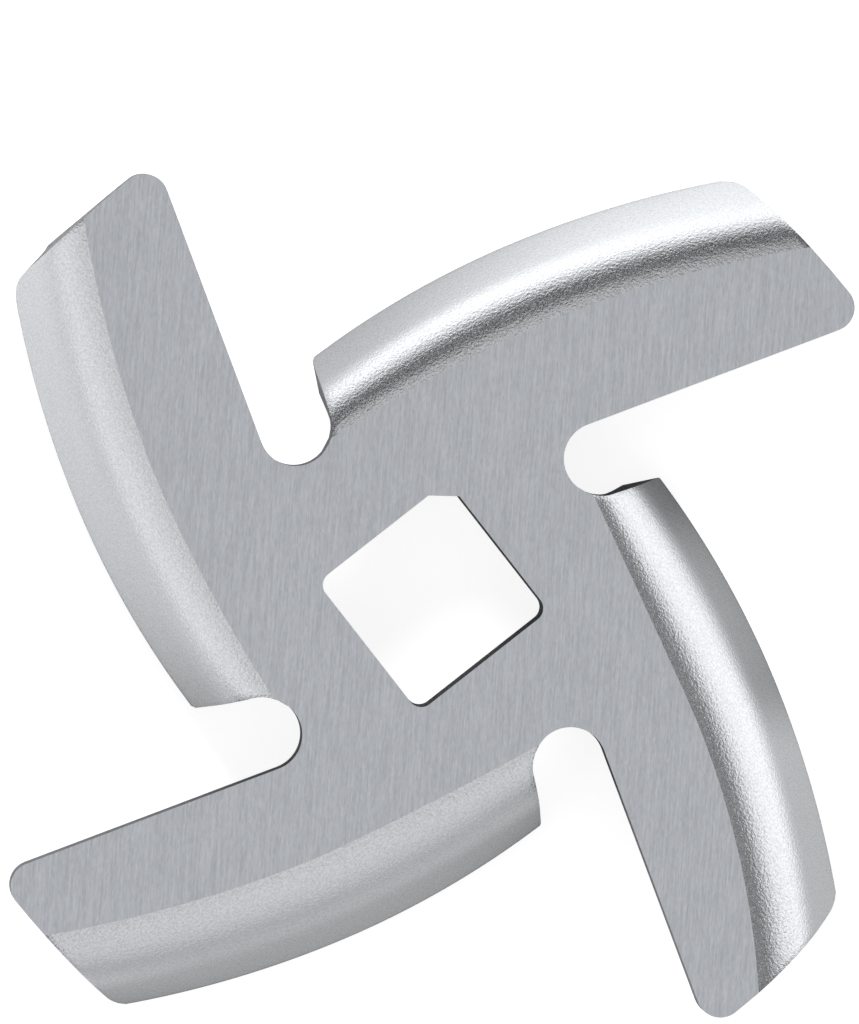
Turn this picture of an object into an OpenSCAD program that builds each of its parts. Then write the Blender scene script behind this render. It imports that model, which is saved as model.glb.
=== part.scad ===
// Four-blade knife for a meat grinder, stamped from stainless sheet.
// The ground face is on top, level, and the knife rests on its four turned-down wings.
// The origin is on the axis of the square hole, at the height of the surface it rests on.

/* [Overall size] */
// circle that the four tips sweep
knife_d = 60; // [57:0.5:64]
// thickness of the sheet as it was stamped
sheet_t = 2.5; // [2:0.1:3]
// metal taken off the top face when it was ground flat
ground_off = 0.25; // [0.15:0.05:0.4]

/* [Square hole] */
// distance across the flats of the square hole
drive_af = 9.5; // [8:0.1:10.5]
// rounding in three corners of the hole
drive_corner_r = 0.8; // [0.4:0.1:1.2]
// width of the flat across the fourth corner of the hole
key_flat_w = 1.5; // [1.2:0.1:2]

/* [Blades] */
// distance from the axis to each cutting edge
edge_offset = 6.2; // [5.8:0.1:6.8]
// angle between a cutting edge and the sides of the hole
edge_turn = 17.5; // [0:0.5:30]
// rounding at the outer end of the cutting edge
tip_r = 1.4; // [0.8:0.1:1.8]

/* [Curved back] */
// radius of the curved back edge, seen from above
back_r = 53; // [51:0.5:56]
// distance from the axis to the crown of the back edge
back_reach = 17.4; // [16.8:0.1:18]
// how far out along the blade the crown lies
back_crown = 13.7; // [12:0.1:15]

/* [Turned-down wings] */
// width of the wing seen from above
wing_w = 5.1; // [4.8:0.1:5.6]
// outside radius of the bend
bend_r = 6; // [5:0.1:6.4]
// slope of the straight part of the wing
wing_slope = 64; // [50:1:66]
// rounding of the wing at the tip end
wing_tip_r = 2; // [1:0.1:2.6]
// rounding of the wing at the hub end
wing_heel_r = 0.6; // [0.3:0.1:1]

/* [Gullets] */
// radius of the round bottom of each gullet
gullet_r = 2.1; // [1.6:0.1:2.4]
// distance from the axis to the centre of the round, along the blade behind it
gullet_reach = 11.9; // [11.5:0.1:12.3]
// angle by which the gullet opens outwards
gullet_flare = 8; // [0:1:14]
// how far the flat hub laps past the bottom of the gullets
hub_lap = 0.3; // [0.2:0.05:0.5]

/* [Hidden] */
$fn = 96;
blades = 4;
outer_r = knife_d / 2;
steel = [0.70, 0.71, 0.72];

// thickness left under the ground face
web_t = sheet_t - ground_off;
// slope of the bend where the ground face cuts it
crease_slope = acos(1 - ground_off / bend_r);
// run of the bend seen from above, from the crease to the straight part
bend_run = bend_r * (sin(wing_slope) - sin(crease_slope));
// length of the straight part along its slope
skirt_l = (wing_w - bend_run) / cos(wing_slope);
// centre of the back edge, in the frame of one blade
back_u = back_crown;
back_v = back_reach - back_r;
// radius of the crease and of the start of the bend, about the same centre
crease_r = back_r - wing_w;
bend_start_r = crease_r - bend_r * sin(crease_slope);
// flats that make up the curve of a bend
bend_steps = 9;
// height of the bend's own centre, from the ground face
bend_z = ground_off - bend_r;
// overall height
knife_h = skirt_l * sin(wing_slope) - bend_z - (bend_r - sheet_t) * cos(wing_slope);
// roundings stand this far past the lines they meet, so that they cross and don't just touch
cross = 0.002;
// overlap of one solid into the next, so that they join
joint = 0.1;
// length by which the bent strip starts inside the flat sheet
lap = 0.4;
// centre of the round of the gullet, in the frame of the blade behind it
gullet_u = gullet_r - edge_offset - cross;
gullet_v = gullet_reach;
// radius of the flat hub, inside which no blade is bent
hub_r = norm([gullet_u, gullet_v]) - gullet_r + hub_lap;

// the point where two circles cross, on the left of the line from the first centre to the second
function crossing(a, ra, b, rb) =
    let (d = norm(b - a), e = (b - a) / d)
    let (x = (d * d + ra * ra - rb * rb) / (2 * d), y = sqrt(ra * ra - x * x))
    a + x * e + y * [-e[1], e[0]];

// the wedge outside a rounded corner, with the corner's rounding centred at c
module corner_waste(c, r, from_a, to_a) {
    reach = 2.2 * r;
    mid_a = (from_a + to_a) / 2;
    half = (to_a - from_a) / 2;
    difference() {
        translate(c)
            polygon([
                [0, 0],
                reach * [cos(from_a), sin(from_a)],
                reach / cos(half) * [cos(mid_a), sin(mid_a)],
                reach * [cos(to_a), sin(to_a)]
            ]);
        translate(c)
            circle(r + cross);
    }
}

// waste at the tip end of the cutting edge
module tip_waste() {
    c = [sqrt(pow(outer_r - tip_r, 2) - pow(edge_offset + tip_r, 2)), edge_offset + tip_r];
    corner_waste(c, tip_r, -90, atan2(c[1], c[0]));
}

// waste at the outer corner of the wing
module wing_tip_waste() {
    c = crossing([0, 0], outer_r - wing_tip_r, [back_u, back_v], back_r - wing_tip_r);
    d = c - [back_u, back_v];
    corner_waste(c, wing_tip_r, atan2(c[1], c[0]), atan2(d[1], d[0]));
}

// the gullet between the cutting edge of one blade and the heel of the wing behind it
module gullet() {
    f = gullet_flare;
    r = gullet_r - cross;
    t = [gullet_u + r * cos(f), gullet_v - r * sin(f)];
    far = 30;
    translate([gullet_u, gullet_v])
        circle(gullet_r);
    polygon([
        [gullet_u - gullet_r - joint, gullet_v],
        [gullet_u, gullet_v],
        t,
        t + far / cos(f) * [sin(f), cos(f)],
        [gullet_u - gullet_r - joint, gullet_v + far]
    ]);
}

// waste at the heel of the wing, where the gullet's side meets the back edge
module wing_heel_waste() {
    f = gullet_flare;
    r = wing_heel_r;
    side = [sin(f), cos(f)];
    reach = gullet_r - cross + r;
    start = [gullet_u + reach * cos(f), gullet_v - reach * sin(f)];
    w = start - [back_u, back_v];
    b = w * side;
    run = -b + sqrt(b * b - w * w + pow(back_r - r, 2));
    c = start + run * side;
    d = c - [back_u, back_v];
    corner_waste(c, r, atan2(d[1], d[0]), 180 - f);
}

// one blade seen from above, outwards from the middle of its gullet, its cutting edge along the first axis
module blade_outline() {
    difference() {
        intersection() {
            circle(outer_r);
            translate([back_u, back_v])
                circle(back_r);
            translate([gullet_u, edge_offset])
                square([outer_r * 2, outer_r]);
        }
        tip_waste();
        wing_tip_waste();
        wing_heel_waste();
        gullet();
    }
}

// points round the bend at radius r, from its first flat to its last
function bend_arc(r) =
    [for (i = [1 : bend_steps])
        let (a = wing_slope * i / bend_steps)
        [bend_start_r + r * sin(a), bend_z + r * cos(a)]];

function reversed(points) = [for (i = [len(points) - 1 : -1 : 0]) points[i]];

// section through the sheet where it turns down, drawn out from the centre of the back edge
module bend_section() {
    down = [cos(wing_slope), -sin(wing_slope)];
    top = bend_arc(bend_r);
    under = bend_arc(bend_r - sheet_t);
    start = [bend_start_r, -web_t];
    polygon(concat(
        [[bend_start_r - lap, 0]],
        top,
        [top[bend_steps - 1] + skirt_l * down, under[bend_steps - 1] + skirt_l * down],
        reversed(under),
        [start + (start - under[0]) * lap / (under[0][0] - start[0])]
    ));
}

// the turned-down strip along the back of one blade, kept clear of the flat hub
module bent_strip() {
    heel_a = atan2(gullet_v - back_v, gullet_u - back_u);
    difference() {
        translate([back_u, back_v, 0])
            rotate([0, 0, 60])
                rotate_extrude(angle = heel_a - 60, $fn = 360)
                    bend_section();
        translate([0, 0, -knife_h * 2])
            cylinder(h = knife_h * 3, r = hub_r - joint);
    }
}

// the strip seen from above, where no flat sheet may stand
module bend_side() {
    difference() {
        translate([gullet_u, edge_offset])
            square([outer_r * 2, outer_r]);
        translate([back_u, back_v])
            circle(bend_start_r + lap * 2);
        circle(hub_r);
    }
}

// the sheet as bent, before it is ground and seen from above without its outline
module bent_sheet() {
    translate([0, 0, -web_t])
        linear_extrude(height = sheet_t)
            difference() {
                circle(outer_r + 1);
                for (i = [0 : blades - 1])
                    rotate(i * 90 - edge_turn)
                        bend_side();
            }
    for (i = [0 : blades - 1])
        rotate([0, 0, i * 90 - edge_turn])
            bent_strip();
}

// the hole that takes the square of the feed screw
module drive_hole_outline() {
    h = drive_af / 2;
    r = drive_corner_r;
    difference() {
        square(drive_af, center = true);
        for (a = [90, 180, 270])
            rotate(a)
                corner_waste([h - r, h - r], r, 0, 90);
        translate([h - key_flat_w / sqrt(2), h])
            rotate(-45)
                square([key_flat_w, key_flat_w]);
    }
}

// the whole knife seen from above
module knife_outline() {
    difference() {
        union() {
            difference() {
                rotate(-edge_turn)
                    square((gullet_reach + joint) * 2, center = true);
                for (i = [0 : blades - 1])
                    rotate(i * 90 - edge_turn)
                        gullet();
            }
            for (i = [0 : blades - 1])
                rotate(i * 90 - edge_turn)
                    blade_outline();
        }
        drive_hole_outline();
    }
}

// the bent sheet cut to its outline, with the top ground off level
module knife() {
    color(steel)
        translate([0, 0, knife_h])
            intersection() {
                bent_sheet();
                translate([0, 0, -knife_h - 1])
                    linear_extrude(height = knife_h + 1)
                        knife_outline();
            }
}

knife();
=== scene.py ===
# %% [markdown]
# # A four-blade knife for a meat grinder
# The knife is one piece of stainless sheet. A press cuts its outline and turns the
# back of each blade down into a wing; then the top is ground flat and bright.
# This lesson builds it in Blender in the order in which a shop would make it,
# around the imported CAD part, which gives the size and the place.

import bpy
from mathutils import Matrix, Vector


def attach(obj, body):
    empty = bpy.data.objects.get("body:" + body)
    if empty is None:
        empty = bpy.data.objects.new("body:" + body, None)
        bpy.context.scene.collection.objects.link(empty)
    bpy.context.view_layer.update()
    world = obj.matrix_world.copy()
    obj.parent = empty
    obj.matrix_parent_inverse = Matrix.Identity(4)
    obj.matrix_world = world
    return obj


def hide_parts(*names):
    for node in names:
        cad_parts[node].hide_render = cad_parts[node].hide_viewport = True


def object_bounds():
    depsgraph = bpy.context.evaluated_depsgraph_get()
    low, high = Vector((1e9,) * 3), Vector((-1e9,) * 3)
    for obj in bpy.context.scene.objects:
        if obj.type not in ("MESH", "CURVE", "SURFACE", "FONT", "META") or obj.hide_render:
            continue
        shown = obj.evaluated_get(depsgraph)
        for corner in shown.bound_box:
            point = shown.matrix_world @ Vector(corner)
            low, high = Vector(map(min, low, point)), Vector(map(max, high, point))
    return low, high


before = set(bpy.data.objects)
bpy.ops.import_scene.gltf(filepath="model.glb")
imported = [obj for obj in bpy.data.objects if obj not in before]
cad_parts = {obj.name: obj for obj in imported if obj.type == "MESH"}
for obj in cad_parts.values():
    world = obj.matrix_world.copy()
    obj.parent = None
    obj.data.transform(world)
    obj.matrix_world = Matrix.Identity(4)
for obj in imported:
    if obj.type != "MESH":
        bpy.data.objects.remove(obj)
cad_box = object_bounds()
print("CAD box, m:", [[round(x, 5) for x in corner] for corner in cad_box])

# %% [markdown]
# ## Values and units
# The part's source draws the knife in millimetres, and Blender holds it in metres.
# Millimetres keep the numbers readable, so the mesh is made in them and is scaled
# once, when it is finished. One blade is drawn with its cutting edge along x, and
# the others are turned copies of it.

# %% Sizes of the knife, in millimetres
from math import acos, asin, atan2, cos, degrees, pi, radians, sin, sqrt, tan

import bmesh
import bpy
import numpy as np
from mathutils import Matrix, Vector

MM = 0.001
BLADES = 4
OUTER_R = 30.0  # the circle that the tips sweep
SHEET_T = 2.5
GROUND_OFF = 0.25  # what the grinding took off the top, on average
EDGE_OFFSET = 6.2  # from the axis to a cutting edge
EDGE_TURN = radians(17.5)  # from the sides of the hole to the cutting edges
BACK = Vector((13.7, -35.6))  # centre of the curved back edge
BACK_R = 53.0
WING_W = 5.1
BEND_R = 6.0
WING_SLOPE = radians(64)
KNIFE_H = cad_box[1][2] / MM
HUB_R = 8.0  # only the square hole lies inside this circle
print("the knife stands", round(KNIFE_H, 3), "mm high and sweeps", 2 * OUTER_R, "mm")

# %% [markdown]
# ## The bend, as a section through the sheet
# A press turns the back of the blade down over a rounded tool, so the sheet follows
# a circle and then runs straight. Grinding the top cuts a slice off the bend, and
# that cut is the crease seen on the real knife. It could be a Bevel or a Curve, but
# then the crease couldn't wander as the real one does, so the section is a row of
# pairs: a point on top of the sheet and the point under it. Each is a radius from
# the centre of the back edge and a height against the ground face.

# %% Radii that belong to the section
CREASE_SLOPE = acos(1 - GROUND_OFF / BEND_R)
CREASE_R = BACK_R - WING_W
START_R = CREASE_R - BEND_R * sin(CREASE_SLOPE)
WEB_T = SHEET_T - GROUND_OFF
BEND_RUN = BEND_R * (sin(WING_SLOPE) - sin(CREASE_SLOPE))
SKIRT_L = (WING_W - BEND_RUN) / cos(WING_SLOPE)
print("bend from", round(START_R, 2), "to", round(CREASE_R + BEND_RUN, 2), "mm,",
      "then straight for", round(SKIRT_L, 2), "mm")


# %% Pairs of points across the wing
FLAT_STEPS, BEND_STEPS, SKIRT_STEPS = 2, 16, 9  # before the crease, round the bend, below


def bend_pair(slope, off):
    """Top and under point where the sheet has this slope, with off ground away."""
    middle_z = off - BEND_R
    ground = -middle_z / cos(slope)  # from the middle of the bend to the ground face
    top = min(BEND_R, ground)
    return [(START_R + r * sin(slope), middle_z + r * cos(slope))
            for r in (top, BEND_R - SHEET_T)]


def wing_section(off):
    """Pairs from the flat to the rim of the wing."""
    crease = acos(1 - off / BEND_R)
    slopes = [crease * i / FLAT_STEPS for i in range(FLAT_STEPS)]
    slopes += [crease + (WING_SLOPE - crease) * i / BEND_STEPS
               for i in range(BEND_STEPS + 1)]
    pairs = [bend_pair(slope, off) for slope in slopes]
    end = pairs[-1]
    skirt = min(SKIRT_L, (KNIFE_H + end[1][1]) / sin(WING_SLOPE))
    for i in range(1, SKIRT_STEPS + 1):
        run = skirt * i / SKIRT_STEPS
        pairs.append([(r + run * cos(WING_SLOPE), z - run * sin(WING_SLOPE))
                      for r, z in end])
    return pairs


# %% [markdown]
# A real grinder never takes the same off all four blades. In the picture the crease
# lies further out on two of them, so a little more is ground off those.

# %% One section for each blade
OFF_BY_BLADE = (0.38, 0.38, 0.14, 0.14)  # upper, left, lower and right in the picture
sections = [wing_section(off) for off in OFF_BY_BLADE]
crease_radii = [section[FLAT_STEPS][0][0] for section in sections]
LINES = len(sections[0])
print("creases at", [round(r, 2) for r in crease_radii], "mm, lowest points at",
      [round(KNIFE_H + section[-1][1][1], 3) for section in sections])

# %% [markdown]
# ## The two ends of a wing
# The section is swept along the back edge, and each of its lines has to stop where
# the outline of the blank stops: at the gullet on the hub side, called the heel, and
# near the swept circle on the tip side. Both ends are drawn as fine rows of points,
# so that the place of any line of the section can be read off them.


# %% Points along a round, and their places about the centre of the back edge
def arc_points(centre, r, a, b, n=40):
    return [(centre[0] + r * cos(t), centre[1] + r * sin(t)) for t in np.linspace(a, b, n)]


def about_back(points):
    """Radius and angle of each point about the centre of the back edge."""
    d = np.array(points) - np.array(BACK)
    return np.hypot(d[:, 0], d[:, 1]), np.arctan2(d[:, 1], d[:, 0])


def azimuth(v):
    return atan2(v.y, v.x)


# %% The heel
GULLET_R = 2.1
GULLET = Vector((GULLET_R - EDGE_OFFSET, 11.9))
FLARE = radians(8)  # the gullet opens outwards by this much
WING_HEEL_R = 0.3  # rounding of the outer corner
HEEL_FROM = radians(-60)  # where on the gullet's round the bend begins
HOLLOW, HOLLOW_SPAN = 0.16, 3.6  # the heel is slightly hollow over this width
HOLLOW_R = 50.0  # where the hollow is deepest, about the centre of the back edge

side = Vector((sin(FLARE), cos(FLARE)))
side_from = GULLET + (GULLET_R + WING_HEEL_R) * Vector((cos(FLARE), -sin(FLARE)))
d = side_from - BACK
run = sqrt(d.dot(side) ** 2 - d.length_squared + (BACK_R - WING_HEEL_R) ** 2)
heel_c = side_from + (run - d.dot(side)) * side
heel_line = arc_points(GULLET, GULLET_R, HEEL_FROM, -FLARE)
heel_line += arc_points(heel_c, WING_HEEL_R, pi - FLARE, azimuth(heel_c - BACK), 16)
heel_radii, heel_angles = about_back(heel_line)
hollow_at = np.clip((heel_radii - heel_radii[0]) / HOLLOW_SPAN, 0, 1)
heel_angles = heel_angles - HOLLOW / HOLLOW_R * np.sin(pi * hollow_at)
print("heel from", round(heel_radii[0], 2), "to", round(heel_radii[-1], 2), "mm")


# %% [markdown]
# The tip end of a blade is a little flatter than the circle it sweeps, with a
# rounded corner at the cutting edge and another at the rim of the wing.

# %% The tip end
def crossing(a, ra, b, rb):
    """Where two circles cross, left of the line from the first centre to the second."""
    d = (b - a).length
    e = (b - a) / d
    x = (d * d + ra * ra - rb * rb) / (2 * d)
    return a + x * e + sqrt(ra * ra - x * x) * Vector((-e.y, e.x))


TIP_R = 1.4  # rounding at the cutting edge
WING_TIP_R = 2.0  # rounding at the rim of the wing
END_R = 55.0  # the flatter end, against the 30 mm of the swept circle

tip_y = EDGE_OFFSET + TIP_R
tip_c = Vector((sqrt((OUTER_R - TIP_R) ** 2 - tip_y ** 2), tip_y))
wing_c = crossing(Vector((0, 0)), OUTER_R - WING_TIP_R, BACK, BACK_R - WING_TIP_R)
end_from = OUTER_R * tip_c.normalized()
end_to = OUTER_R * wing_c.normalized()
chord = end_to - end_from
inwards = Vector((-chord.y, chord.x)).normalized()
end_c = (end_from + end_to) / 2 + sqrt(END_R ** 2 - chord.length_squared / 4) * inwards
strip_end = crossing(end_c, END_R, BACK, START_R)
end_line = arc_points(end_c, END_R, azimuth(strip_end - end_c), azimuth(end_to - end_c))
end_line += arc_points(wing_c, WING_TIP_R, azimuth(wing_c), azimuth(wing_c - BACK), 24)
end_radii, end_angles = about_back(end_line)
print("tip end from", round(end_radii[0], 2), "to", round(end_radii[-1], 2), "mm")

# %% [markdown]
# ## Sweeping the wing
# The bend isn't the same from end to end. At the hub the sheet has to stay flat, so
# the lines of the bend draw together as they come to the gullet, and near the tip
# the crease curves outwards. Each line keeps its height and slides across the wing.
# A plain spin of the section can't do that, so its places are worked out here.

# %% Where each line of the section lies along the blade
RUN_OUT = 0.4  # share of the wing over which the bend runs out at the heel
TIP_FROM = 0.55  # share after which the crease leaves its circle
TIP_SWELL, SWELL_FROM = 0.2, 0.5  # the wing bulges a little towards the tip
HEEL_CREASE_R = (49.02, 49.02, 48.72, 49.08)  # where each crease ends at the heel
TIP_CREASE_OUT = (0.6, 0.6, 0.75, 0.1)  # how far each crease has moved out at the tip
UNDER_RIM_R, UNDER_RIM_HEEL_R = 50.75, 51.05  # the underside's rim, and at the heel


def wing_point(blade, line, face, t):
    """Place of a line's top (face 0) or under point, t of the way from heel to tip."""
    r, z = sections[blade][line][face]
    known = [START_R, crease_radii[blade], BACK_R]
    if face:
        at_heel = np.interp(r, [START_R, UNDER_RIM_R], [heel_radii[0], UNDER_RIM_HEEL_R])
        at_tip = r
    else:
        at_heel = np.interp(r, known, [heel_radii[0], HEEL_CREASE_R[blade], BACK_R])
        at_tip = np.interp(r, known, [START_R, known[1] + TIP_CREASE_OUT[blade], BACK_R])
    across = (r - START_R) / (BACK_R - START_R)
    angle = (1 - t) * np.interp(at_heel, heel_radii, heel_angles)
    angle += t * np.interp(at_tip, end_radii, end_angles)
    place = r + max(0.0, 1 - t / RUN_OUT) ** 2 * (at_heel - r)
    place += max(0.0, (t - TIP_FROM) / (1 - TIP_FROM)) ** 2 * (at_tip - r)
    place += max(0.0, (t - SWELL_FROM) / (1 - SWELL_FROM)) ** 2 * TIP_SWELL * across
    return Vector((BACK.x + place * cos(angle), BACK.y + place * sin(angle), KNIFE_H + z))


for t in (0, 1):
    print("crease at t =", t, [round(x, 2) for x in wing_point(0, FLAT_STEPS, 0, t)])

# %% [markdown]
# ## The skin of a wing
# A grid has one column for each line of the section and one row for each step along
# the blade, so it only has to be moved into place. Each vertex also keeps the place
# of its partner under the sheet, in a layer of its own, for when the thickness
# comes. The first column, where the flat begins, is marked as a seam.

# %% One wing as a moved grid
WING_STEPS = 72
GROUND, PRESSED, SHEARED = 0, 1, 2  # material slots


def wing_skin(bm, under, blade):
    grid = bmesh.ops.create_grid(bm, x_segments=LINES - 1, y_segments=WING_STEPS, size=1)
    verts = grid["verts"]
    first = {v for v in verts if v.co.x < -1 + 1e-3}
    for e in {e for v in first for e in v.link_edges}:
        e.seam = first.issuperset(e.verts)
    for v in verts:
        line, t = round((v.co.x + 1) / 2 * (LINES - 1)), (v.co.y + 1) / 2
        v.co = wing_point(blade, line, 0, t)
        v[under] = wing_point(blade, line, 1, t)
    for f in {f for v in verts for f in v.link_faces}:
        level = all(v.co.z > KNIFE_H - 1e-4 for v in f.verts)
        f.material_index = GROUND if level else PRESSED
    return verts


# %% [markdown]
# ## The outline of the flat
# A flat outline is easiest to draw as a walk: one vertex is extruded for a straight
# edge and spun for a round one, just as a wire cutter would follow it. The walk
# starts in the middle of a gullet, follows the cutting edge, turns the tip and stops
# at the wing; a second short one goes from the wing's heel into the next gullet.

# %% Walk helpers
def straight(bm, vert, x, y):
    new = bmesh.ops.extrude_vert_indiv(bm, verts=[vert])["verts"][0]
    new.co = (x, y, KNIFE_H)
    return new


def around(bm, vert, centre, angle, steps):
    made = bmesh.ops.spin(bm, geom=[vert], cent=(*centre[:2], 0), axis=(0, 0, 1),
                          angle=angle, steps=steps)
    return next(g for g in made["geom_last"] if isinstance(g, bmesh.types.BMVert))


# %% One blade's part of the outline
GULLET_MIDDLE = atan2(-GULLET.y, -GULLET.x)  # the point of the gullet nearest the axis
gullet_floor = GULLET + GULLET_R * Vector((cos(GULLET_MIDDLE), sin(GULLET_MIDDLE)))
gullet_before = Vector((GULLET.y, -GULLET.x))


def flat_outline(bm):
    v = bm.verts.new((gullet_floor.y, -gullet_floor.x, KNIFE_H))
    v = around(bm, v, gullet_before, -(GULLET_MIDDLE + pi), 20)
    v = straight(bm, v, tip_c.x, EDGE_OFFSET)
    v = around(bm, v, tip_c, pi / 2 + azimuth(tip_c), 10)
    around(bm, v, end_c, azimuth(strip_end - end_c) - azimuth(end_from - end_c), 14)
    x, y = heel_line[0]
    v = bm.verts.new((x, y, KNIFE_H))
    around(bm, v, GULLET, GULLET_MIDDLE - HEEL_FROM, 4)


# %% Four blades, each turned into place
bm = bmesh.new()
under = bm.verts.layers.float_vector.new("under")
for blade in range(BLADES):
    before = set(bm.verts)
    skin = wing_skin(bm, under, blade)
    flat_outline(bm)
    turned = Matrix.Rotation(blade * pi / 2 - EDGE_TURN, 3, "Z")
    for v in skin:
        v[under] = turned @ v[under]
    bmesh.ops.rotate(bm, verts=[v for v in bm.verts if v not in before],
                     cent=(0, 0, 0), matrix=turned)
bmesh.ops.remove_doubles(bm, verts=bm.verts, dist=1e-4)
print("outline and wings:", len(bm.verts), "vertices,", len(bm.faces), "faces")

# %% [markdown]
# ## The square hole
# The hole takes the square of the feed screw. Three corners are rounded and the
# fourth is a flat. It is the rim of a square grid whose corners are bevelled one
# way or the other. The flat isn't quite square to the diagonal on the real knife,
# so its two ends slide a little along the sides.

# %% Square hole
HOLE = 9.5 / 2
HOLE_TOP = 9.6 / 2  # a punch leaves the hole a little wider on one side
HOLE_CORNER_R = 0.8
KEY_FLAT = 1.8  # width of the flat across the fourth corner
KEY_SLIDE = 0.12  # how far each end of that flat slides, to turn it a little

hole = bmesh.ops.create_grid(bm, x_segments=1, y_segments=1, size=HOLE_TOP)["verts"]
bmesh.ops.translate(bm, verts=hole, vec=(0, 0, KNIFE_H))
key = [v for v in hole if v.co.x > 0 and v.co.y > 0]
plain = [v for v in hole if v not in key]
bmesh.ops.delete(bm, geom=list({f for v in hole for f in v.link_faces}), context="FACES_ONLY")
bmesh.ops.bevel(bm, geom=plain, offset=HOLE_CORNER_R, offset_type="OFFSET", segments=8,
                profile=0.5, affect="VERTICES", material=-1)
ends = bmesh.ops.bevel(bm, geom=key, offset=KEY_FLAT / sqrt(2), offset_type="OFFSET",
                       segments=1, profile=0.5, affect="VERTICES", material=-1)["verts"]
for v in ends:
    along_x = v.co.x < v.co.y
    v.co += Vector((-KEY_SLIDE, 0, 0) if along_x else (0, KEY_SLIDE, 0))


def in_hub(e):
    return all(v.co.xy.length < HUB_R for v in e.verts)


hole_edges = [e for e in bm.edges if in_hub(e)]
print("hole:", len(hole_edges), "edges,", round(sum(e.calc_length() for e in hole_edges), 2),
      "mm round")

# %% [markdown]
# ## Filling the flat
# One n-gon per quarter keeps the flat free of needless edges, which lets the rims be
# bevelled evenly. The quarters meet on short lines from the gullets to the hole, so
# a side of the hole is cut where each of those lines meets it.

# %% Cut the sides of the hole
rims, cuts = [], []
for blade in range(BLADES):
    p = Matrix.Rotation(blade * pi / 2 - EDGE_TURN, 2) @ gullet_floor
    rims.append(min(bm.verts, key=lambda v: (v.co.xy - p).length))
    sides = [e for e in bm.edges if in_hub(e) and e.calc_length() > HOLE / 2]
    near = min(sides, key=lambda e: ((e.verts[0].co + e.verts[1].co).xy / 2 - p).length)
    cuts.append(bmesh.utils.edge_split(near, near.verts[0], 0.5)[1])
print("lines across the hub:", [round((r.co - c.co).length, 2) for r, c in zip(rims, cuts)])

# %% Walk the outline and fill each quarter
outline = {e for e in bm.edges if e.seam or not e.link_faces}


def walk(start, stops, way):
    """Vertices along the outline from start to the next stop, anticlockwise if way is 1."""
    for first in [e for e in start.link_edges if e in outline]:
        path, e = [start], first
        while len(path) == 1 or path[-1] not in stops:
            path.append(e.other_vert(path[-1]))
            e = next(x for x in path[-1].link_edges if x in outline and x is not e)
        if way * start.co.cross(path[-1].co).z > 0:
            return path


for rim in rims:
    path = walk(rim, rims, 1)
    back = walk(cuts[rims.index(path[-1])], cuts, -1)
    bm.faces.new(path + back).material_index = GROUND
print("faces on top:", len(bm.faces))

# %% [markdown]
# ## Thickness
# The top is extruded as one region, which makes the underside and all the cut walls
# at once. A Solidify modifier would thicken the flat evenly too, but the underside of
# the bend isn't an offset of its ground top, so the new vertices go to their stored
# places. The flat has none stored yet, and its partners lie straight below it, apart
# from the hole's, which draw in a little.

# %% Give the sheet its thickness
for v in bm.verts:
    if v[under].length < 1:
        taper = HOLE / HOLE_TOP if v.co.xy.length < HUB_R else 1
        v[under] = (v.co.x * taper, v.co.y * taper, KNIFE_H - WEB_T)
top_faces = set(bm.faces)
made = bmesh.ops.extrude_face_region(bm, geom=bm.faces[:])["geom"]
for v in [g for g in made if isinstance(g, bmesh.types.BMVert)]:
    v.co = v[under]
under_faces = {g for g in made if isinstance(g, bmesh.types.BMFace)}
for f in bm.faces:
    if f not in top_faces:
        f.material_index = PRESSED if f in under_faces else SHEARED
bmesh.ops.recalc_face_normals(bm, faces=bm.faces)
print(len(bm.faces), "faces,", sum(len(e.link_faces) != 2 for e in bm.edges),
      "open edges,", round(bm.calc_volume(), 1), "mm3")


# %% [markdown]
# ## Softened edges
# Nothing pressed or ground has a mathematically sharp edge. The rims of the wings
# are rounded by the press and the tumbling barrel, and the ground edges are only
# broken. A small bevel in two segments catches the light as those do. The crease
# stays sharp, because the grinding wheel cut it last.

# %% Soften the rims
BROKEN_EDGE = 0.07
RIM_ANGLE = radians(30)  # a rim turns by more than this, unlike a step of a bend


def finishes(e):
    return {f.material_index for f in e.link_faces}


rim_edges = [e for e in bm.edges if finishes(e) == {GROUND, SHEARED}
             or finishes(e) == {PRESSED, SHEARED} and e.calc_face_angle() > RIM_ANGLE]
bmesh.ops.bevel(bm, geom=rim_edges, offset=BROKEN_EDGE, offset_type="OFFSET", segments=2,
                profile=0.5, affect="EDGES", material=-1, clamp_overlap=True, loop_slide=True)
for e in bm.edges:
    if finishes(e) == {GROUND, PRESSED}:
        e.smooth = False
print(len(rim_edges), "edges softened;", len(bm.faces), "faces now")

# %% [markdown]
# ## The finished piece
# The mesh is scaled to metres and linked as one object at the origin. It rides on
# the root body and stands for the CAD knife. Curved faces are shaded smooth and the
# ground face flat, and weighted normals keep the big faces level beside the bevels.

# %% Make the object
bm.verts.layers.float_vector.remove(under)
bmesh.ops.scale(bm, vec=(MM, MM, MM), verts=bm.verts)
mesh = bpy.data.meshes.new("knife_mesh")
bm.to_mesh(mesh)
bm.free()
for p in mesh.polygons:
    p.use_smooth = p.material_index != GROUND
knife = bpy.data.objects.new("grinder_knife", mesh)
bpy.context.scene.collection.objects.link(knife)
even = knife.modifiers.new("weighted normals", "WEIGHTED_NORMAL")
even.keep_sharp = True
even.weight = 100  # the larger the face, the more it counts
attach(knife, "root")
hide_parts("knife")
mesh.calc_loop_triangles()
print(len(mesh.loop_triangles), "triangles")


# %% [markdown]
# ## Colours and nodes
# Colours are written as they look, in sRGB hex, and one function turns them into the
# linear values that Blender works with. One more function adds a node with its
# settings and its links, so that each finish reads as a list of what it is made of.

# %% Colour and node helpers
def linear(hex_colour):
    parts = [int(hex_colour[i:i + 2], 16) / 255 for i in (1, 3, 5)]
    return (*[c / 12.92 if c <= 0.04045 else ((c + 0.055) / 1.055) ** 2.4 for c in parts], 1)


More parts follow.
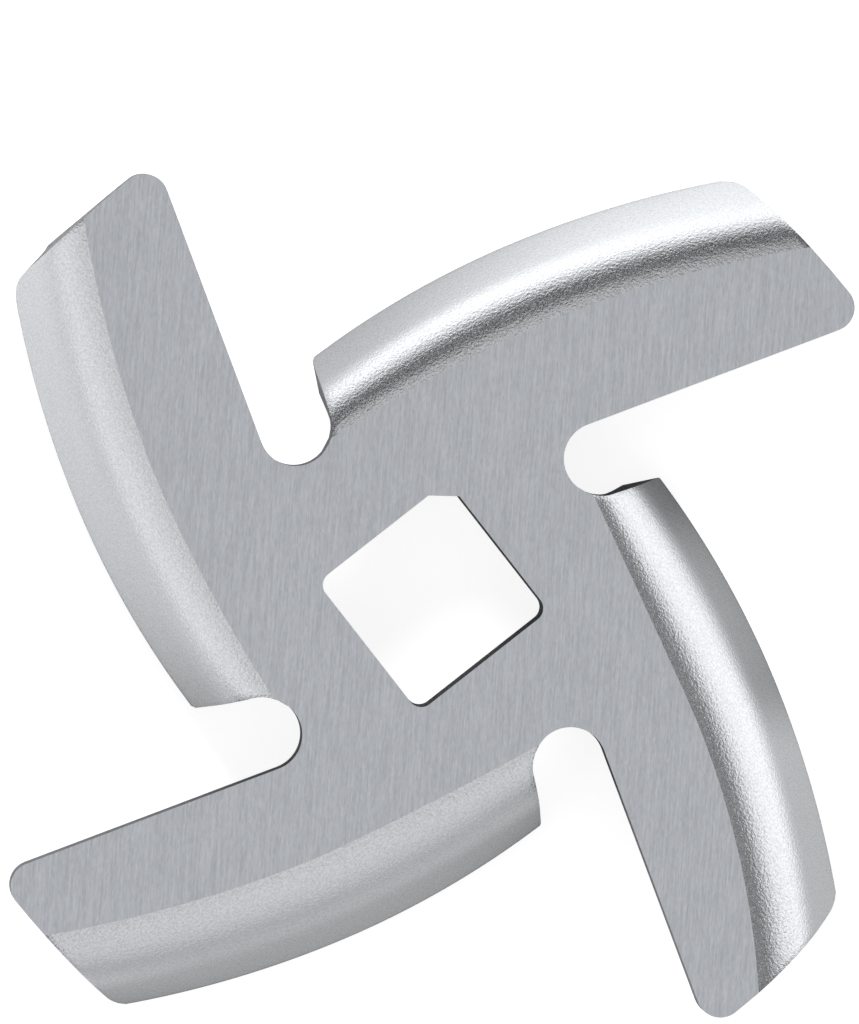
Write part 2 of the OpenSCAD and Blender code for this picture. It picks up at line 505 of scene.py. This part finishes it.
def add(tree, kind, settings=None, **inputs):
    """Adds a node. Settings are its own fields, and stops are those of a colour ramp;
    inputs are values or links, by the socket's name or by its number after an underscore."""
    node = tree.nodes.new(kind)
    for field, value in (settings or {}).items():
        if field != "stops":
            setattr(node, field, value)
            continue
        elements = node.color_ramp.elements
        while len(elements) < len(value):
            elements.new(0.5)
        for element, (position, colour) in zip(elements, value):
            element.position, element.color = position, colour
    for name, value in inputs.items():
        numbered = name[0] == "_"
        socket = node.inputs[int(name[1:]) if numbered else name.replace("_", " ")]
        if isinstance(value, bpy.types.NodeSocket):
            tree.links.new(value, socket)
        else:
            socket.default_value = value
    return node


def new_material(name):
    material = bpy.data.materials.new(name)
    material.use_nodes = True
    material.node_tree.nodes.clear()
    mesh.materials.append(material)
    return material.node_tree


def per_metre(mm):
    """Scale of a noise whose grains are this many millimetres across."""
    return 1 / (mm * MM)


# %% [markdown]
# ## Ground stainless
# The top is ground with a belt or a cup wheel, which leaves fine straight lines, all
# one way. Grit of about 180 cuts lines some 0.02 mm wide. The picture has 17 pixels
# to the millimetre, so they are drawn about 0.1 mm wide: short nicks, and longer
# lines among them. The ground steel is even and a little darker than the wings,
# because the lines spread the light.

# %% Ground stainless
RIGHT = Vector((0.786, -0.618, 0))  # the picture's own directions, laid on the knife
UP = Vector((0.618, 0.786, 0))
GRIND_TURN = azimuth(UP) - radians(4)  # the lines run up the picture and lean a little
NICK = (0.45 * MM, 0.11 * MM, 10 * MM)  # length, width, depth of one grain of the noise
SCRATCH = (2.6 * MM, 0.13 * MM, 10 * MM)

tree = new_material("ground_stainless")
place = add(tree, "ShaderNodeTexCoord").outputs["Object"]
marks = []
for grain, distortion in ((NICK, 0.6), (SCRATCH, 0.3)):
    laid = add(tree, "ShaderNodeMapping", {"vector_type": "TEXTURE"}, _0=place,
               Rotation=(0, 0, GRIND_TURN), Scale=grain).outputs[0]
    marks.append(add(tree, "ShaderNodeTexNoise", _0=laid, Scale=1, Detail=2,
                     Distortion=distortion).outputs["Fac"])
lines = add(tree, "ShaderNodeMix", {"data_type": "FLOAT"}, Factor=0.5,
            _2=marks[0], _3=marks[1]).outputs[0]
colour = add(tree, "ShaderNodeValToRGB",
             {"stops": [(0.35, linear("#C2C5CA")), (0.65, linear("#D9DCE1"))]}, _0=lines)
relief = add(tree, "ShaderNodeBump", Strength=0.5, Distance=0.01 * MM, Height=lines)
steel = add(tree, "ShaderNodeBsdfPrincipled", Base_Color=colour.outputs[0], Metallic=1.0,
            Roughness=0.38, Normal=relief.outputs[0])
add(tree, "ShaderNodeOutputMaterial", Surface=steel.outputs[0])

# %% [markdown]
# ## Pressed and tumbled stainless
# The wings keep the skin of the rolled sheet, dulled in a tumbling barrel. That is a
# satin of tiny dimples, brighter and smoother than the ground face, so the wings
# show soft bands of light with a sparkle in the dark ones. Real dimples are about
# 0.05 mm across; they are drawn about three times as wide, so that they still show.

# %% Pressed and tumbled stainless
DIMPLE, PATCH = 0.16, 0.13  # millimetres; a patch shines a little more or less
tree = new_material("pressed_tumbled_stainless")
place = add(tree, "ShaderNodeTexCoord").outputs["Object"]
dimples = add(tree, "ShaderNodeTexNoise", _0=place, Scale=per_metre(DIMPLE), Detail=2,
              Roughness=0.6).outputs["Fac"]
patches = add(tree, "ShaderNodeTexNoise", _0=place, Scale=per_metre(PATCH), Detail=2,
              Roughness=0.6).outputs["Fac"]
colour = add(tree, "ShaderNodeValToRGB",
             {"stops": [(0.36, linear("#CACCCF")), (0.62, linear("#D8DADD"))]}, _0=patches)
rough = add(tree, "ShaderNodeMapRange", _0=patches, From_Min=0.35, From_Max=0.65,
            To_Min=0.29, To_Max=0.19).outputs[0]
relief = add(tree, "ShaderNodeBump", Strength=1.0, Distance=0.026 * MM, Height=dimples)
steel = add(tree, "ShaderNodeBsdfPrincipled", Base_Color=colour.outputs[0], Metallic=1.0,
            Roughness=rough, Normal=relief.outputs[0])
add(tree, "ShaderNodeOutputMaterial", Surface=steel.outputs[0])

# %% [markdown]
# ## Sheared edges
# The punch leaves the walls of the hole, the gullets and the rims torn, with steep
# marks along its stroke. They stay rough. Their dark colour is painted shade: the
# walls lie in shade and mirror the dark walls across from them, and a colour far
# darker than steel paints that darkness on them.

# %% Sheared stainless
TEAR = (0.3 * MM, 0.3 * MM, 2.5 * MM)  # marks about 0.1 mm wide, drawn wider to show
tree = new_material("sheared_stainless_painted_shade")
place = add(tree, "ShaderNodeTexCoord").outputs["Object"]
stroke = add(tree, "ShaderNodeMapping", {"vector_type": "TEXTURE"}, _0=place, Scale=TEAR)
torn = add(tree, "ShaderNodeTexNoise", _0=stroke.outputs[0], Scale=1, Detail=2).outputs["Fac"]
# painted shade: this ramp runs far darker than steel, standing in for the shade in the walls
colour = add(tree, "ShaderNodeValToRGB",
             {"stops": [(0.35, linear("#5E5F62")), (0.65, linear("#74757A"))]}, _0=torn)
relief = add(tree, "ShaderNodeBump", Strength=0.4, Distance=0.04 * MM, Height=torn)
steel = add(tree, "ShaderNodeBsdfPrincipled", Base_Color=colour.outputs[0], Metallic=1.0,
            Roughness=0.45, Normal=relief.outputs[0])
add(tree, "ShaderNodeOutputMaterial", Surface=steel.outputs[0])
print("materials:", [m.name for m in mesh.materials])

# %% [markdown]
# ## The floor
# The knife lies on white paper, a plain square much larger than the knife.

# %% Floor
FLOOR_W = 4.0  # metres
bm = bmesh.new()
bmesh.ops.create_grid(bm, x_segments=1, y_segments=1, size=FLOOR_W / 2)
floor_mesh = bpy.data.meshes.new("floor")
bm.to_mesh(floor_mesh)
bm.free()
floor = bpy.data.objects.new("floor", floor_mesh)
bpy.context.scene.collection.objects.link(floor)
print("floor is", FLOOR_W, "m wide")

# %% [markdown]
# Metal shows what lies around it, so the paper is made to glow for mirrored rays.
# That glow is painted light: the paper is no lamp, and the glow only paints
# reflections into the wings. The brightest part lies beyond the two far wings, at
# the picture's upper right, and gives them their broad highlight; close by the
# blades an occlusion mask darkens it, which is painted shade. Two weaker glows, on
# the left and below, lift the other two rims.

# %% Glow of the paper in the metal
PAINTED_GLOWS = {  # direction, where each glow begins and is full, in mm, and how bright it is
    "far": (radians(55), 8, 32, 0.9),
    "left": (radians(165), 0, 28, 0.38),
    "near": (radians(296), 13.5, 18.5, 0.29),
}
SHADE_REACH = 20 * MM
SHADE_FULL, SHADE_NONE = 0.62, 0.87  # share of open sky over the paper

paper = bpy.data.materials.new("white_paper_and_painted_glow")
paper.use_nodes = True
tree = paper.node_tree
tree.nodes.clear()
floor_mesh.materials.append(paper)
place = add(tree, "ShaderNodeTexCoord").outputs["Object"]
glow_at = {}
for name, (turn, start, end, most) in PAINTED_GLOWS.items():
    way = RIGHT * cos(turn) + UP * sin(turn)
    out = add(tree, "ShaderNodeVectorMath", {"operation": "DOT_PRODUCT"}, _0=place, _1=way)
    glow_at[name] = add(tree, "ShaderNodeMapRange", {"interpolation_type": "SMOOTHSTEP"},
                        _0=out.outputs["Value"], From_Min=start * MM, From_Max=end * MM,
                        To_Max=most).outputs[0]
# painted shade: the occlusion of the open sky dims the far glow close to the blades
open_sky = add(tree, "ShaderNodeAmbientOcclusion", {"samples": 4}, Distance=SHADE_REACH)
open_sky = add(tree, "ShaderNodeMapRange", {"interpolation_type": "SMOOTHSTEP"},
               _0=open_sky.outputs["AO"], From_Min=SHADE_FULL, From_Max=SHADE_NONE)
# the painted glow: the far glow, dimmed beside the blades, plus the left and near glows
painted_glow = add(tree, "ShaderNodeMath", {"operation": "MULTIPLY_ADD"}, _0=glow_at["far"],
           _1=open_sky.outputs[0], _2=glow_at["left"]).outputs[0]
painted_glow = add(tree, "ShaderNodeMath", {"operation": "ADD"}, _0=painted_glow,
           _1=glow_at["near"]).outputs[0]
print("glow in the metal:", {name: glow[-1] for name, glow in PAINTED_GLOWS.items()})

# %% [markdown]
# The paper's own light for the camera makes the background white. The paper under it
# is grey, so that the lamp and the tent light it at a plain level, and it still keeps
# the knife's shadow.

# %% White paper
CAMERA_GLOW = 0.84
ray = add(tree, "ShaderNodeLightPath").outputs
mirrored = add(tree, "ShaderNodeMath", {"operation": "MAXIMUM"},
               _0=ray["Is Glossy Ray"], _1=ray["Is Transmission Ray"]).outputs[0]
seen = add(tree, "ShaderNodeMath", {"operation": "MULTIPLY"},
           _0=ray["Is Camera Ray"], _1=CAMERA_GLOW).outputs[0]
# mirrored rays see the painted glow, the camera sees the even white glow
level = add(tree, "ShaderNodeMath", {"operation": "MULTIPLY_ADD"},
            _0=mirrored, _1=painted_glow, _2=seen).outputs[0]
matt = add(tree, "ShaderNodeBsdfDiffuse", Color=linear("#AAAAAA"))
glow = add(tree, "ShaderNodeEmission", Color=linear("#FFFFFF"), Strength=level)
total = add(tree, "ShaderNodeAddShader", _0=matt.outputs[0], _1=glow.outputs[0])
add(tree, "ShaderNodeOutputMaterial", Surface=total.outputs[0])
print("glow for the camera:", CAMERA_GLOW)

# %% [markdown]
# ## The light tent
# A polished thing is photographed in a tent of white cloth, because it only shows
# what is around it. A face that slopes by an angle sends the camera's ray off at
# twice that angle from the vertical, so each wing reads its side of the tent from
# the top down. Each side is therefore a colour ramp over that angle: a dark strip
# of the tent makes a dark band along a bend. The last ramp, the roof, gives no light.
# It says how high the dark curtains reach, which are hung last.

# %% Brightness of each side, by angle from the vertical
BRIGHTEST = 2.5  # a ramp holds colours up to 1, so its levels are divided by this
OVERHEAD = 0.72
SIDES = {
    "above": [(180, 1.2), (95, 1.5), (84, 1.42), (74, 0.3), (68, 0.03), (56, 0.0),
              (50, 0.85), (40, OVERHEAD)],
    "right": [(180, 0.4), (95, 1.6), (84, 1.5), (60, 1.35), (54, 1.2), (45, 0.18),
              (28, 0.18), (20, OVERHEAD)],
    "left": [(180, 0.9), (92, 1.2), (60, 1.0), (48, 0.92), (37, 0.8), (25, OVERHEAD)],
    "below": [(180, 0.3), (92, 0.45), (80, 0.72), (60, 0.86), (40, 0.92), (28, 0.85),
              (20, OVERHEAD)],
    "roof": [(180, 0), (38, 0), (24, BRIGHTEST)],
}

# %% The world and its ramps
world = bpy.data.worlds.new("light_tent")
bpy.context.scene.world = world
world.use_nodes = True
tree = world.node_tree
tree.nodes.clear()
direction = add(tree, "ShaderNodeTexCoord").outputs["Generated"]
height = add(tree, "ShaderNodeSeparateXYZ", _0=direction).outputs["Z"]
height = add(tree, "ShaderNodeMapRange", _0=height, From_Min=-1.0, From_Max=1.0).outputs[0]
tone = {}
for name, levels in SIDES.items():
    stops = [((cos(radians(angle)) + 1) / 2, (*[level / BRIGHTEST] * 3, 1))
             for angle, level in levels]
    tone[name] = add(tree, "ShaderNodeValToRGB", {"stops": stops}, _0=height).outputs[0]
print("tent sides:", list(tone))

# %% [markdown]
# Two soft switches say which side a ray meets: one tells the upper left half of the
# tent from the lower right, the other the upper right from the lower left. The sides
# run into each other there, as cloth does round a corner.

# %% Join the sides of the tent
CORNER = 0.2  # how far the sides run into each other, as a cosine
HALVES = {"upper_left": radians(160), "upper_right": radians(70)}
half = {}
for name, turn in HALVES.items():
    way = RIGHT * cos(turn) + UP * sin(turn)
    facing = add(tree, "ShaderNodeVectorMath", {"operation": "DOT_PRODUCT"},
                 _0=direction, _1=way).outputs["Value"]
    half[name] = add(tree, "ShaderNodeMapRange", {"interpolation_type": "SMOOTHSTEP"},
                     _0=facing, From_Min=-CORNER, From_Max=CORNER).outputs[0]
lower_left = add(tree, "ShaderNodeMix", {"data_type": "RGBA"}, Factor=half["upper_left"],
                 _6=tone["below"], _7=tone["left"]).outputs[2]
upper_right = add(tree, "ShaderNodeMix", {"data_type": "RGBA"}, Factor=half["upper_left"],
                  _6=tone["right"], _7=tone["above"]).outputs[2]
cloth = add(tree, "ShaderNodeMix", {"data_type": "RGBA"}, Factor=half["upper_right"],
            _6=lower_left, _7=upper_right).outputs[2]
print("sides meet softly over", round(2 * degrees(asin(CORNER))), "degrees")

# %% [markdown]
# Between the sides hang four dark curtains, which give the ends of the blades their
# shade. They end below the roof.

# %% Curtains between the sides
CURTAIN_TURN = radians(24)
CURTAIN_FULL, CURTAIN_NONE = -0.9, -0.2  # cosine of four times the turn from a window
flat_way = [add(tree, "ShaderNodeVectorMath", {"operation": "DOT_PRODUCT"},
                _0=direction, _1=axis).outputs["Value"] for axis in (UP, RIGHT)]
turn = add(tree, "ShaderNodeMath", {"operation": "ARCTAN2"}, _0=flat_way[0], _1=flat_way[1])
turn = add(tree, "ShaderNodeMath", {"operation": "MULTIPLY_ADD"}, _0=turn.outputs[0],
           _1=BLADES, _2=-BLADES * CURTAIN_TURN)
window = add(tree, "ShaderNodeMath", {"operation": "COSINE"}, _0=turn.outputs[0])
window = add(tree, "ShaderNodeMapRange", {"interpolation_type": "SMOOTHSTEP"},
             _0=window.outputs[0], From_Min=CURTAIN_FULL, From_Max=CURTAIN_NONE)
window = add(tree, "ShaderNodeMath", {"operation": "MAXIMUM"}, _0=window.outputs[0],
             _1=tone["roof"])
cloth = add(tree, "ShaderNodeMix", {"data_type": "RGBA"}, Factor=window.outputs[0],
            _6=linear("#3A3B3C"), _7=cloth).outputs[2]
lit = add(tree, "ShaderNodeBackground", Color=cloth, Strength=BRIGHTEST)
add(tree, "ShaderNodeOutputWorld", Surface=lit.outputs[0])
print("curtains:", BLADES)

# %% [markdown]
# ## The lamp
# One small lamp stands close by, above the picture, and lights the paper and lays a
# faint shadow below the knife. Because it is so near, the paper is brighter on its
# own side, as beside a window, and the rims of the wings show that. It is hidden
# from mirrored rays, since a tent would hide it in the same way.

# %% Key lamp
LAMP_TURN, LAMP_SLOPE, LAMP_AWAY = radians(105), radians(52), 115 * MM
LAMP_WIDE, LAMP_POWER = 50 * MM, 0.15
level_way = RIGHT * cos(LAMP_TURN) + UP * sin(LAMP_TURN)
lamp_way = level_way * sin(LAMP_SLOPE) + Vector((0, 0, cos(LAMP_SLOPE)))
lamp_data = bpy.data.lights.new("key_lamp", "AREA")
lamp_data.shape = "DISK"
lamp_data.size = LAMP_WIDE
lamp_data.energy = LAMP_POWER
lamp = bpy.data.objects.new("key_lamp", lamp_data)
bpy.context.scene.collection.objects.link(lamp)
lamp.visible_glossy = False
lamp.visible_camera = False
lamp.matrix_world = (Matrix.Translation(lamp_way * LAMP_AWAY)
                     @ lamp_way.to_track_quat("Z", "Y").to_matrix().to_4x4())
print("lamp at", [round(x, 3) for x in lamp.matrix_world.translation])

# %% [markdown]
# ## The camera
# The picture was taken from almost straight above and from far away, leaning a few
# degrees. The lens follows from the picture's width and its scale on the knife.

# %% Camera
PICTURE_W = 859
PIXELS_PER_MM = 17.22
SENSOR = 36
DISTANCE = 0.95  # metres, far enough to look almost flat
LEAN_RIGHT, LEAN_UP, ROLL = radians(-3.7), radians(2.1), radians(0.2)
look_at = Vector((2.864, 4.01, KNIFE_H)) * MM

camera_data = bpy.data.cameras.new("camera")
camera_data.sensor_fit = "HORIZONTAL"
camera_data.sensor_width = SENSOR
camera_data.lens = SENSOR * DISTANCE / (PICTURE_W / PIXELS_PER_MM * MM)
camera_data.clip_end = 10
camera = bpy.data.objects.new("camera", camera_data)
bpy.context.scene.collection.objects.link(camera)
z_axis = (tan(LEAN_RIGHT) * RIGHT + tan(LEAN_UP) * UP + Vector((0, 0, 1))).normalized()
x_axis = (Matrix.Rotation(ROLL, 3, "Z") @ UP).cross(z_axis).normalized()
axes = Matrix((x_axis, z_axis.cross(x_axis), z_axis)).transposed().to_4x4()
camera.matrix_world = Matrix.Translation(look_at + DISTANCE * z_axis) @ axes
bpy.context.scene.camera = camera
bpy.context.scene.view_settings.view_transform = "Standard"
print("lens", round(camera_data.lens, 1), "mm")
